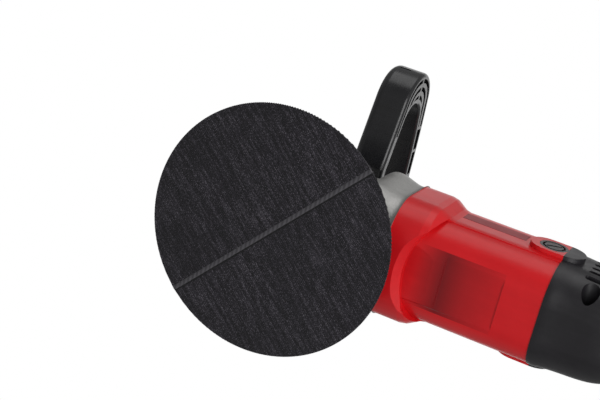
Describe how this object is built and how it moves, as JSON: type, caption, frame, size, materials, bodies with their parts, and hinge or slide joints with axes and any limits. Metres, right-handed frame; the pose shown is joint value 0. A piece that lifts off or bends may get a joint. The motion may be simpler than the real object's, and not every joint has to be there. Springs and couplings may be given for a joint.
{
  "type": "dual action polisher",
  "caption": "Handheld dual action polisher with a round hook-faced pad on an orbiting spindle, aluminium gear head, closed D handle, red motor housing and black rear grip.",
  "frame": {"origin": "centre of the pad's hook face", "axes": "+Z from the pad up into the machine, +X back along the motor to the grip, +Y across"},
  "size_m": [0.4962, 0.216, 0.1795],
  "materials": {
    "hook_fabric": "matt",
    "cushion": "matt",
    "black_plastic": "satin",
    "handle_plastic": "satin",
    "red_plastic": "satin",
    "dark_red": "satin",
    "cast_aluminium": "cast",
    "steel": "machined",
    "zinc_screw": "blackened",
    "copper": "wound",
    "carbon": "matt",
    "brass": "drawn",
    "rubber": "matt",
    "board": "satin",
    "white_plastic": "satin"
  },
  "bodies": {
    "housing": {"armature_bearing_front": "steel", "armature_bearing_rear": "steel", "bearing_sleeve": "rubber", "brush_caps": "black_plastic", "brush_holders": "brass", "brush_springs": "steel", "brushes": "carbon", "cable_gland": "rubber", "control_board": "board", "cord_clamp": "black_plastic", "d_handle": "handle_plastic", "fan_baffle": "black_plastic", "field_coils": "copper", "gear_head": "cast_aluminium", "handle_bolts": "zinc_screw", "head_bolts": "zinc_screw", "housing_screws": "zinc_screw", "motor_housing": "red_plastic", "rear_housing_left": "black_plastic", "rear_housing_right": "black_plastic", "side_strips": "dark_red", "skirt": "black_plastic", "skirt_screws": "zinc_screw", "spindle_bearing_lower": "steel", "spindle_bearing_upper": "steel", "stator": "steel", "switch_body": "white_plastic", "trigger_pin": "steel"},
    "spindle": {"eccentric": "steel", "eccentric_bearing": "steel", "bearing_clip": "steel", "counterweight": "steel", "output_spindle": "steel", "crown_gear": "steel"},
    "pad": {"hook_face": "hook_fabric", "pad_cushion": "cushion", "backing_plate": "black_plastic", "pad_stud": "steel", "pad_spindle": "steel"},
    "armature": {"armature_core": "steel", "armature_windings": "copper", "commutator": "copper", "fan": "white_plastic", "armature_shaft": "steel", "pinion": "steel"},
    "trigger_body": {"trigger": "black_plastic"},
    "lock_button_body": {"lock_button": "red_plastic"},
    "speed_dial_body": {"speed_dial": "black_plastic"}
  },
  "joints": [
    {"name": "spindle_spin", "type": "hinge", "parent": "housing", "child": "spindle", "pos_m": [0.0075, 0, 0.065], "axis": [0, 0, 1], "continuous": true},
    {"name": "armature_spin", "type": "hinge", "parent": "housing", "child": "armature", "pos_m": [0.1, 0, 0.065], "axis": [1, 0, 0], "continuous": true},
    {"name": "pad_spin", "type": "hinge", "parent": "spindle", "child": "pad", "pos_m": [0, 0, 0.03], "axis": [0, 0, 1], "continuous": true},
    {"name": "trigger_pull", "type": "hinge", "parent": "housing", "child": "trigger_body", "pos_m": [0.269, 0, 0.048], "axis": [0, -1, 0], "range_deg": [0, 6], "stiffness_Nm_per_rad": 0.6, "springref_deg": -17.19},
    {"name": "lock_push", "type": "slide", "parent": "housing", "child": "lock_button_body", "axis": [0, 1, 0], "range_m": [0, 0.0025], "stiffness_N_per_m": 300, "springref_m": -0.002},
    {"name": "dial_turn", "type": "hinge", "parent": "housing", "child": "speed_dial_body", "pos_m": [0.238, 0, 0.0915], "axis": [0, 1, 0], "range_deg": [0, 270]}
  ],
  "couplings": [
    {"joint": "armature_spin", "follows": "spindle_spin", "ratio": -4}
  ]
}
